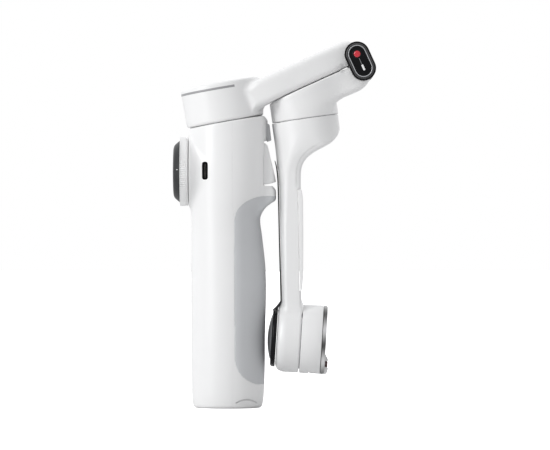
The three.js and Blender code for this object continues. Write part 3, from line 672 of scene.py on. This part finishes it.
# ---------- thumb wheel ----------
RIB_DEPTH = 0.6
RIBS = 100
SEGMENTS_PER_RIB = 8
wheel_profile = [
    (14.1, WHEEL_SEAT + 1.4), (9, WHEEL_SEAT + 1.2), (9, WHEEL_SEAT - 3), (6, WHEEL_SEAT - 3),
    (6, WHEEL_SEAT + 0.1), (14.6, WHEEL_SEAT + 0.1), (15.2, WHEEL_SEAT + 0.2), (15.35, WHEEL_SEAT + 0.4),
    (15.35, WHEEL_SEAT + 0.62), (14.95, WHEEL_SEAT + 0.72), (14.95, WHEEL_SEAT + 0.92),
    (15.35, WHEEL_SEAT + 1.02, RIB_DEPTH * 0.4),
    (15.4, WHEEL_SEAT + 1.15, RIB_DEPTH), (15.4, WHEEL_FACE - 0.35, RIB_DEPTH), (15.2, WHEEL_FACE - 0.1),
    (14.9, WHEEL_FACE), (14.35, WHEEL_FACE), (14.1, WHEEL_FACE - 0.2),
]
wheel = solid("thumb_wheel_ring", lathe(wheel_profile, WHEEL, SEGMENTS_PER_RIB * RIBS, flutes=RIBS))
dress(wheel, "thumb_wheel", "white_shell", "thumb_wheel")
disc_profile = [
    (0, WHEEL_SEAT - 2.2), (5.2, WHEEL_SEAT - 2.2), (5.2, WHEEL_SEAT + 1.8), (13.7, WHEEL_SEAT + 1.8),
    (13.9, WHEEL_FACE - 0.6), (13.85, WHEEL_FACE - 0.1), (13.6, WHEEL_FACE + 0.3), (12.2, WHEEL_FACE + 1.95),
    (11.7, WHEEL_FACE + 2.4), (11.1, WHEEL_FACE + 2.72), (10.3, WHEEL_FACE + 2.9), (9, DISC_TOP - 0.18),
    (6, DISC_TOP - 0.08), (0, DISC_TOP - 0.04),
]
disc = solid("touch_disc_dome", lathe(disc_profile, WHEEL, 128))
dress(disc, "touch_disc", "dark_plastic", "touch_disc")
MARK_REACH = 12.9
MARK_SLOPE = math.radians(50)
for quarter in range(4):
    turn = WHEEL @ Matrix.Rotation(math.radians(90 * quarter + 3), 4, "Z")
    slope = Matrix.Translation((MARK_REACH, 0, WHEEL_FACE + 1.13)) @ Matrix.Rotation(MARK_SLOPE, 4, "Y")
    dash = crate((-0.35, -0.14, -0.1), (0.35, 0.14, 0.05), turn @ slope)
    mark = soften(solid(f"disc_mark_{quarter + 1}", dash), 0.04)
    dress(mark, "touch_disc", "white_shell")
centre_mark = [(2.6, DISC_TOP - 0.2), (2.8, DISC_TOP - 0.2), (2.8, DISC_TOP + 0.01), (2.6, DISC_TOP + 0.01)]
dress(solid("disc_mark_centre", lathe(centre_mark, WHEEL, 64)), "touch_disc", "white_shell")

# ---------- tripod legs ----------
LEG_TOP = 36
LEG_SIDE = math.radians(60)  # each leg spans this much to both sides of its middle
WIRE_RING = 9.7  # radius of the round wire that the legs hinge on
WIRE_HEIGHT = 33
WIRE_BORE = 0.9


def leg(p):
    """One of three legs: a third of a tube, bevelled at its toe and slotted for its hinge."""
    x, y, z = p
    tube = pipe(p, 3.4, LEG_RADIUS, 0, LEG_TOP)
    wedge = np.abs(y) * math.cos(LEG_SIDE) - x * math.sin(LEG_SIDE) + 0.15
    body = meet(meet(tube, wedge, 0.5), np.hypot(x, y) - LEG_RADIUS - (z - 1.4), 0.4)
    slot = block(p, (7.6, -1.7, 29), (20, 1.7, 60), 0.2)
    wire_bore = np.hypot(np.hypot(x, y) - WIRE_RING, z - WIRE_HEIGHT) - WIRE_BORE
    return np.maximum(np.maximum(body, -slot), -wire_bore)


leg_shape = moulded(leg, (0, -LEG_RADIUS, 0), (13, LEG_RADIUS, LEG_TOP), STEP)
for number in range(3):
    third_turn = Matrix.Rotation(2 * math.pi * number / 3, 4, "Z")
    piece = solid(f"foot_leg_{number + 1}", moved(leg_shape, third_turn))
    dress(piece, "tripod", "white_shell", f"tripod_leg_{number + 1}")
    sole = crate((8, -3.2, -0.02), (11, 3.2, 0.5), third_turn)
    dress(soften(solid(f"foot_sole_{number + 1}", sole), 0.2), "tripod", "soft_grip")

# ---------- telescopic rod and pan motor's stator ----------
ROD = Matrix.Translation((ROD_REACH, 0, 0))
middle_profile = [(0, 49), (2.8, 49), (2.9, 49.2), (2.9, 108.8), (2.75, 109), (2.2, 109), (2.2, 50.2),
                  (0, 50.2)]
dress(solid("rod_middle_sleeve", lathe(middle_profile, ROD, 64)), "rod_middle", "steel", "rod_middle_tube",
      look="tube_steel")
rod_profile = [(0, 51), (1.8, 51), (1.9, 51.2), (1.9, 122.2), (0, 122.2)]
dress(solid("rod_inner_shaft", lathe(rod_profile, ROD, 64)), "rod_inner", "steel", look="tube_steel")
cup_profile = [(5.2, -7), (13.8, -7), (14.4, -6.5), (14.4, -1), (14.2, -0.7), (13.7, -0.7), (13.7, -6),
               (5.4, -6), (5.4, -1.6), (3.9, -1.6), (3.9, -7)]
dress(solid("pan_stator_cup", lathe(cup_profile, PAN, 96)), "rod_inner", "grey_plastic", "rod_carriage")

# ---------- pan head with arm 1 ----------
ARM_1_SIDE = corners([(-52, ARM_LOW), (-9, ARM_LOW, 1.5), (-8.2, ARM_LOW + 0.25, 0.5), (0, ARM_LOW + 0.25, 1),
                      (3.1, -1.2, 1.5), (3, 1.4, 1), (0.4, 6.3, 2), (-3.4, ARM_HIGH, 2), (-46, ARM_HIGH),
                      (-52, ARM_HIGH - 2)], 4)
ARM_1_WIDTH = [(-56, 13.6), (-44, 14.8), (-28, 14), (-14, 12.2), (-6, ARM_END_HALF), (6, ARM_END_HALF)]


def pan_head(p):
    """The round head melted into arm 1, with the motor's room below and the cover's tray under the arm."""
    q = local(p, PAN)
    a = local(p, ARM)
    cylinder = drum(q, HEAD_RADIUS, SEAM, HEAD_HEIGHT, 1.3)
    bar = meet(within(a[0], a[2], ARM_1_SIDE), np.abs(a[1]) - flow(a[0], ARM_1_WIDTH), 2.6)
    shape = melt(cylinder, bar, 3)
    shape = np.maximum(shape, SEAM - q[2])
    shape = np.maximum(shape, -drum(q, HEAD_RADIUS - 2, -3, HEAD_HEIGHT - 1.9, 0.5))
    shape = np.maximum(shape, -cross_pin(a, PIN_BORE))
    tray = block(a, (-32.95, -7.75, ARM_LOW - 3), (-10.05, 7.75, ARM_LOW + 1.7), 0.4)
    return np.maximum(shape, -tray)


head = solid("pan_head_and_arm_1", moulded(pan_head, (-22, -18.5, 124), (61.5, 18.5, 163.5), STEP))
dress(head, "pan_head", "white_shell", "pan_head_shell", "arm_1_shell")

INLAY = [(HEAD_RADIUS - 0.5, 14.5), (HEAD_RADIUS + 0.02, 14.5), (HEAD_RADIUS + 0.06, 14.62),
         (HEAD_RADIUS + 0.06, 15.38), (HEAD_RADIUS + 0.02, 15.5), (HEAD_RADIUS - 0.5, 15.5)]
inlay = cut(solid("head_inlay_band", lathe(INLAY, PAN, 256)), crate((6.8, -40, 0), (60, 40, 40), PAN))
dress(inlay, "pan_head", "grey_plastic", "head_inlay_strip", look="inlay")
cover_1 = crate((-32.7, -7.5, ARM_LOW), (-10.3, 7.5, ARM_LOW + 1.4), ARM)
dress(soften(solid("arm_1_lower_cover", cover_1), 0.4), "pan_head", "white_shell", "arm_1_cover")

# ---------- hinge caps ----------
def hinge_cap(side, sign):
    """One end plate of the fold hinge: a black rim, a dark bevel and a glossy face in a recess."""
    def span(near, far):
        return sorted((sign * near, sign * far))

    rim = solid(f"hinge_{side}_plate", pill(PILL_RADIUS, *span(CAP_NEAR, CAP_FAR - 0.9)))
    soften(rim, 0.35)
    cut(rim, pill(PILL_RADIUS - 1.9, *span(CAP_FAR - 1.3, CAP_FAR + 3)))
    pin_end = lathe([(0, -1.5), (2.1, -1.5), (2.1, 1.5), (0, 1.5)], segments=32)
    for height in (0, -PIVOT_SPACING):
        centre = Matrix.Translation((0, sign * (CAP_NEAR + 1.4), height))
        cut(rim, moved(pin_end, ARM @ centre @ Matrix.Rotation(math.pi / 2, 4, "X")))
    dress(rim, "hinge_link", "black_gloss", f"hinge_cap_{side}")
    bevel = solid(f"hinge_{side}_bezel", pill(PILL_RADIUS - 0.75, *span(CAP_FAR - 1.0, CAP_FAR)))
    soften(bevel, 0.55, 4)
    cut(bevel, pill(PILL_RADIUS - 1.75, *span(CAP_FAR - 3, CAP_FAR + 3)))
    dress(bevel, "hinge_link", "dark_plastic", look="bezel")
    face = solid(f"hinge_{side}_glass", pill(PILL_RADIUS - 1.8, *span(CAP_FAR - 1.2, CAP_FAR - 0.45)))
    dress(soften(face, 0.1), "hinge_link", "black_gloss")


hinge_cap("front", -1)
hinge_cap("rear", 1)
silver = solid("hinge_silver_ring", pill(PILL_RADIUS - 1.6, -CAP_FAR - 0.02, -CAP_FAR + 0.5))
cut(silver, pill(PILL_RADIUS - 1.95, -30, -10))
dress(soften(silver, 0.06), "hinge_link", "steel", "cap_ring")
FACE = ARM @ Matrix.Translation((0, -CAP_FAR + 0.45, 0)) @ Matrix.Rotation(math.pi / 2, 4, "X")
dot_profile = [(0, -0.1), (1.45, -0.1), (1.45, 0.05), (1.3, 0.2), (0.8, 0.3), (0, 0.34)]
dress(solid("hinge_red_dot", lathe(dot_profile, FACE, 64)), "hinge_link", "red_dot", "cap_dot")
halo_profile = [(1.45, -0.1), (2.1, -0.1), (2.1, 0.06), (1.95, 0.14), (1.6, 0.14), (1.45, 0.06)]
dress(solid("hinge_dot_seat", lathe(halo_profile, FACE, 64)), "hinge_link", "black_gloss")
bar_line = corners([(-0.45, -PIVOT_SPACING - 1.2, 0.4), (0.45, -PIVOT_SPACING - 1.2, 0.4),
                    (0.45, -PIVOT_SPACING + 1.6, 0.4), (-0.45, -PIVOT_SPACING + 1.6, 0.4)])
bar = solid("hinge_white_bar", prism(bar_line, -CAP_FAR + 0.15, -CAP_FAR + 0.55, ARM))
dress(soften(bar, 0.1), "hinge_link", "white_shell", "cap_bar")
stroke = crate((-0.12, -CAP_FAR + 0.35, -PIVOT_SPACING + 1.7), (0.12, -CAP_FAR + 0.55, -2.2), ARM)
dress(soften(solid("hinge_face_line", stroke), 0.04), "hinge_link", "grey_plastic", look="dome")

# ---------- arm 2 with the roll motor's housing ----------
ARM_2_HIGH = -PIVOT_SPACING - ARM_LOW
ARM_2_LOW = -PIVOT_SPACING - ARM_HIGH
ARM_2_SIDE = corners([(-36, ARM_2_HIGH + 6), (-8.2, ARM_2_HIGH + 6), (-8.2, ARM_2_HIGH, 0.2),
                      (0, ARM_2_HIGH, 1), (3.1, -5.6, 1.4), (3, -8.2, 1.4), (0.9, -12.6, 2.2),
                      (-3.4, ARM_2_LOW, 3), (-22, ARM_2_LOW + 0.6), (-36, ARM_2_LOW)], 4)


def arm_2(p):
    """The short arm melted into the roll motor's housing, with a broader fillet at its flanks."""
    q = local(p, ROLL)
    a = local(p, ARM)
    housing = drum(q, DRUM_RADIUS, -10, 60, 0.1)
    bar = meet(within(a[0], a[2], ARM_2_SIDE), np.abs(a[1]) - ARM_END_HALF, 2.4)
    shape = melt(housing, bar, 1.5 + 7 * np.clip((np.abs(a[1]) - 4) / 7, 0, 1))
    shape = meet(shape, a[2] - ARM_2_HIGH, 0.7)
    shape = meet(shape, SEAM - q[2], 0.25)
    shape = np.maximum(shape, -drum(q, DRUM_RADIUS - MOTOR_WALL, -5, 5, 0.4))
    lower_pin = (a[0], a[1], a[2] + PIVOT_SPACING)
    return np.maximum(shape, -cross_pin(lower_pin, PIN_BORE))


arm = solid("arm_2_and_roll_housing", moulded(arm_2, (18, -15.5, 126), (64.5, 15.5, 154.5), STEP))
dress(arm, "arm_2", "white_shell", "arm_2_shell")

# ---------- arm 3 with the roll rotor and the tilt motor's housing ----------
ARM_3_SIDE = (
    sweep([(18.9, 132), (19.2, 122), (20.2, 113.6), (21.7, 106.4), (22.3, 98), (22.9, 74), (23.6, 44)])
    + [(32.8, 44)]
    + sweep([(32.6, 94), (32.5, 103), (33.0, 107.4), (34.9, 111.1), (38.6, 114.2), (43.2, 116.7),
             (46.6, 118.8), (48.9, 121.4)])
    + [(50.1, 124.6), (49.2, 132)]
)
ARM_3_BACK = [(-96, 24.3), (-82, 22.8), (-52, 19.2), (-29, 16.2), (-12, 15.2), (4, 15.2)]
ARM_3_HALF = [(30, 9.4), (46, 9.4), (60, 9.4), (95, 9.4), (106, 10.6), (114, 13.4), (121, 15.4), (132, 15.6)]
BACK_GROOVE = corners([(19, 110.4), (21.2, 110.4), (22.5, 106), (23, 98), (23.5, 74), (24.1, 50), (19, 50)])
FRONT_GROOVE = corners([(30.9, 97.4), (32, 52), (40, 52), (40, 98)])
STATOR_LOW = -9.9


def arm_3(p):
    """The long arm, from the roll motor's lower half to the tilt motor's housing, grooved front and back."""
    x, y, z = p
    q = local(p, ROLL)
    t = local(p, TILT)
    side = within(x, z, ARM_3_SIDE)
    rim = np.clip((side + 2.3) / 0.4, 0, 1) * (x > 28)
    ledge = rim * np.clip((z - 97) / 2, 0, 1) * np.clip((122 - z) / 5, 0, 1)
    flare = np.abs(y) - flow(z, ARM_3_HALF) + 0.35 * ledge
    round_back = np.hypot(q[0], y) - flow(q[2], ARM_3_BACK)
    body = meet(side, flare, 1.5)
    body = meet(body, round_back, 1.0)
    body = meet(body, q[2] + SEAM, 0.25)
    stator = drum(t, TILT_RADIUS, STATOR_LOW, 0.55, 0.8)
    stator = meet(stator, np.hypot(t[0], t[1]) - 13.4 - (t[2] - STATOR_LOW) * 0.9, 1.5)
    shape = melt(body, stator, 3.5)
    shape = np.maximum(shape, -drum(q, DRUM_RADIUS - MOTOR_WALL, -4, 6, 0.4))
    shape = np.maximum(shape, -drum(t, TILT_RADIUS - MOTOR_WALL, -7.6, 6, 0.4))
    back = np.maximum(within(x, z, BACK_GROOVE), np.abs(y) - 3.9)
    shape = np.maximum(shape, -back)
    return np.maximum(shape, -within(x, z, FRONT_GROOVE))


third = solid("arm_3_and_housings", moulded(arm_3, (16, -16, 15), (51, 16, 131.5), STEP))
dress(third, "arm_3", "white_shell", "arm_3_shell")

STRIP_LINE = (
    sweep([(20.8, 110.1), (21.55, 106.3), (22.15, 98), (22.7, 74), (23.3, 50), (23.1, 47.4), (21.5, 45.2),
           (19.9, 43.6)])
    + sweep([(20.8, 42.6), (22.6, 44.6), (23.9, 47), (24.0, 50.2), (23.3, 74), (22.8, 98), (22.2, 106.2),
             (21.1, 110.2)])
)
strip = solid("arm_3_rear_strip", prism(STRIP_LINE, -3.6, 3.6))
dress(soften(strip, 0.12, 2), "arm_3", "dark_plastic", "arm_3_back_strip")
COVER_LINE = corners([(31.2, 97.2), (32.3, 52.2), (32.9, 52.2, 0.3), (33.5, 57, 2), (33.6, 75), (33.5, 93, 2),
                      (32.9, 97.2, 0.3)])
cover = solid("arm_3_front_cover", prism(COVER_LINE, -9.3, 9.3))
dress(soften(cover, 0.9, 4), "arm_3", "white_shell", "arm_3_cover")

# ---------- tilt motor ----------
band_profile = [(0, -12.3), (12.2, -12.3), (12.8, -12.1), (13.2, -11.5), (13.25, -10.9), (13.2, -10.1),
                (0, -10.1)]
dress(solid("tilt_black_band", lathe(band_profile, TILT, 128)), "arm_3", "black_gloss", "tilt_end_cap")
dome_profile = [(0, -14.05), (2, -14), (4, -13.82), (6, -13.5), (8, -13.05), (9.6, -12.6), (10.7, -12.12),
                (10.9, -11.85), (10.7, -11.7), (0, -11.7)]
dome = solid("tilt_rear_dome", lathe(dome_profile, TILT, 128))
dress(dome, "arm_3", "dark_plastic", "tilt_dome", look="dome")

LATCH_SEAT = crate((11.4, -4.3, 5), (20, 4.3, 20), TILT)
rotor_profile = [(0, 0.95), (14.9, 0.95), (15.2, 1.02), (15.3, 1.25), (15.4, 6), (15.48, 9.8), (15.35, 10.05),
                 (15.1, 10.12), (13, 10.12), (13, 8.6), (0, 8.6)]
rotor = cut(solid("tilt_rotor_case", lathe(rotor_profile, TILT, 160)), LATCH_SEAT)
room_radius = TILT_RADIUS - MOTOR_WALL
cut(rotor, lathe([(0, -1), (room_radius, -1), (room_radius, 3), (0, 3)], TILT, 64))
dress(rotor, "tilt_head", "white_shell", "tilt_rotor_shell")
metal_profile = [(13, 10.3), (15.3, 10.3), (15.5, 10.45), (15.5, 11.35), (15.3, 11.7), (14.9, 12), (13.2, 12),
                 (13, 11.8)]
metal = cut(solid("tilt_brushed_ring", lathe(metal_profile, TILT, 160)), LATCH_SEAT)
# The ring's banded finish paints its glints: painted reflections across the metal.
dress(metal, "tilt_head", "steel", "tilt_metal_ring", look="ring_steel_painted_glints")
face_profile = [(0, 8.9), (12.7, 8.9), (12.7, 11), (12.5, 11.2), (10.6, 11.2), (10.45, 11.05), (10.3, 11.2),
                (0, 11.2)]
CONTACT_SLOT = crate((6, -3.2, 8), (8, 3.2, 20), TILT)
mount = cut(solid("phone_mount_plate", lathe(face_profile, TILT, 128)), LATCH_SEAT, CONTACT_SLOT)
dress(mount, "tilt_head", "dark_plastic", "mount_plate")
latch_line = corners([(11.7, 5.4), (15, 5.4, 0.6), (15.2, 12.4, 0.4), (14.5, 13.4, 0.8), (12.2, 13.8, 0.4),
                      (12, 12.2), (9.2, 12.2), (9, 13.7, 0.3), (8.2, 13.4, 0.4), (5.2, 11.6), (5.2, 11.35),
                      (11.7, 11.35)])
latch = cut(solid("latch_slider", prism(latch_line, -4, 4, TILT)), CONTACT_SLOT)
dress(soften(latch, 0.15), "tilt_head", "white_shell", "latch_block")
mark = solid("latch_mark", crate((9.35, -3.85, 12.15), (11.85, 3.85, 13.4), TILT))
dress(soften(mark, 0.25), "tilt_head", "dark_plastic", look="latch_red")
carrier = soften(solid("contact_carrier", crate((6.25, -2.95, 8.9), (7.75, 2.95, 10.6), TILT)), 0.15)
dress(carrier, "tilt_head", "dark_plastic", "contact_pins")
tip = [(0, 10), (0.5, 10), (0.5, 11.3), (0.35, 11.6), (0, 11.65)]
for number, y in enumerate((-1.8, 0, 1.8)):
    piece = solid(f"contact_tip_{number + 1}", lathe(tip, TILT @ Matrix.Translation((7, y, 0)), 24))
    dress(piece, "tilt_head", "gold_contact")
magnet_profile = [(0, 11), (1.1, 11), (1.1, 11.32), (0.95, 11.4), (0, 11.4)]
for side, y in (("left", -9), ("right", 9)):
    magnet = lathe(magnet_profile, TILT @ Matrix.Translation((-2, y, 0)), 40)
    dress(solid(f"mount_magnet_{side}", magnet), "tilt_head", "magnet")

# ---------- stage ----------
VIEW_CENTRE = Vector((21.0, 0, 81.5)) * MM
VIEW_WIDTH = 245.7 * MM
LENS = 300
SENSOR = 36
FRONT_LEVEL = 0.64  # brightness of the studio before and behind the object
BACK_LEVEL = 1.05
FLOOR_REACH = 6
FLOOR_PAINT = 0.72
GLOW_NEAR = 0.8  # how white the floor looks beside the object, fading to full white further out


def stage():
    """A wide pale floor, whose white grows with the distance from the object so that no edge shows."""
    floor_mesh = bpy.data.meshes.new("floor")
    square = [(-FLOOR_REACH, -FLOOR_REACH, 0), (FLOOR_REACH, -FLOOR_REACH, 0),
              (FLOOR_REACH, FLOOR_REACH, 0), (-FLOOR_REACH, FLOOR_REACH, 0)]
    floor_mesh.from_pydata(square, [], [(0, 1, 2, 3)])
    floor = bpy.data.objects.new("floor", floor_mesh)
    bpy.context.scene.collection.objects.link(floor)
    paint = bpy.data.materials.new("pale_floor")
    paint.use_nodes = True
    shader = paint.node_tree.nodes["Principled BSDF"]
    shader.inputs["Base Color"].default_value = (FLOOR_PAINT, FLOOR_PAINT, FLOOR_PAINT, 1)
    shader.inputs["Roughness"].default_value = 0.9
    shader.inputs["Specular IOR Level"].default_value = 0.1
    shader.inputs["Emission Color"].default_value = (1, 1, 1, 1)
    tree = paint.node_tree
    away = wire(tree, "VectorMath", operation="LENGTH")
    tree.links.new(wire(tree, "TexCoord").outputs["Object"], away.inputs[0])
    glow = wire(tree, "MapRange", interpolation_type="SMOOTHSTEP")
    glow.inputs["From Min"].default_value = 0.02
    glow.inputs["From Max"].default_value = 0.5
    glow.inputs["To Min"].default_value = GLOW_NEAR
    tree.links.new(away.outputs["Value"], glow.inputs["Value"])
    seen = wire(tree, "Math", operation="MULTIPLY")
    tree.links.new(glow.outputs["Result"], seen.inputs[0])
    tree.links.new(wire(tree, "LightPath").outputs["Is Camera Ray"], seen.inputs[1])
    tree.links.new(seen.outputs["Value"], shader.inputs["Emission Strength"])
    floor_mesh.materials.append(paint)


def lamp(name, power, size, place):
    """A soft rectangular lamp that looks at the object."""
    light = bpy.data.lights.new(name, "AREA")
    light.energy = power
    light.shape = "RECTANGLE"
    light.size, light.size_y = size
    holder = bpy.data.objects.new(name, light)
    holder.location = place
    holder.rotation_euler = (VIEW_CENTRE - Vector(place)).to_track_quat("-Z", "Y").to_euler()
    bpy.context.scene.collection.objects.link(holder)


def studio():
    """White all round to the eye, and a light that is softer in front than behind, with two lamps."""
    world = bpy.data.worlds.new("studio")
    bpy.context.scene.world = world
    world.use_nodes = True
    tree = world.node_tree
    tree.nodes.clear()
    out = tree.nodes.new("ShaderNodeOutputWorld")
    seen = wire(tree, "Background", Strength=1.0)
    seen.inputs["Color"].default_value = (1, 1, 1, 1)
    lit = wire(tree, "Background")
    lit.inputs["Color"].default_value = (0.985, 0.99, 1, 1)
    depth = wire(tree, "SeparateXYZ")
    tree.links.new(wire(tree, "TexCoord").outputs["Generated"], depth.inputs["Vector"])
    level = wire(tree, "MapRange", interpolation_type="SMOOTHSTEP")
    level.inputs["From Min"].default_value = -0.2
    level.inputs["From Max"].default_value = 0.8
    level.inputs["To Min"].default_value = FRONT_LEVEL
    level.inputs["To Max"].default_value = BACK_LEVEL
    tree.links.new(depth.outputs["Y"], level.inputs["Value"])
    tree.links.new(level.outputs["Result"], lit.inputs["Strength"])
    pick = tree.nodes.new("ShaderNodeMixShader")
    camera_ray = tree.nodes.new("ShaderNodeLightPath").outputs["Is Camera Ray"]
    tree.links.new(camera_ray, pick.inputs["Fac"])
    tree.links.new(lit.outputs["Background"], pick.inputs[1])
    tree.links.new(seen.outputs["Background"], pick.inputs[2])
    tree.links.new(pick.outputs["Shader"], out.inputs["Surface"])
    lamp("key", 7.0, (0.5, 0.9), (-0.95, -0.66, 0.5))
    lamp("top", 1.0, (0.8, 0.8), (0.05, 0.1, 1.0))


def camera():
    """A long lens, level with the object and square to its side."""
    data = bpy.data.cameras.new("camera")
    data.lens = LENS
    data.sensor_width = SENSOR
    holder = bpy.data.objects.new("camera", data)
    holder.location = VIEW_CENTRE - Vector((0, VIEW_WIDTH * LENS / SENSOR, 0))
    holder.rotation_euler = (math.pi / 2, 0, 0)
    bpy.context.scene.collection.objects.link(holder)
    bpy.context.scene.camera = holder


stage()
studio()
camera()
bpy.context.scene.view_settings.view_transform = "Standard"
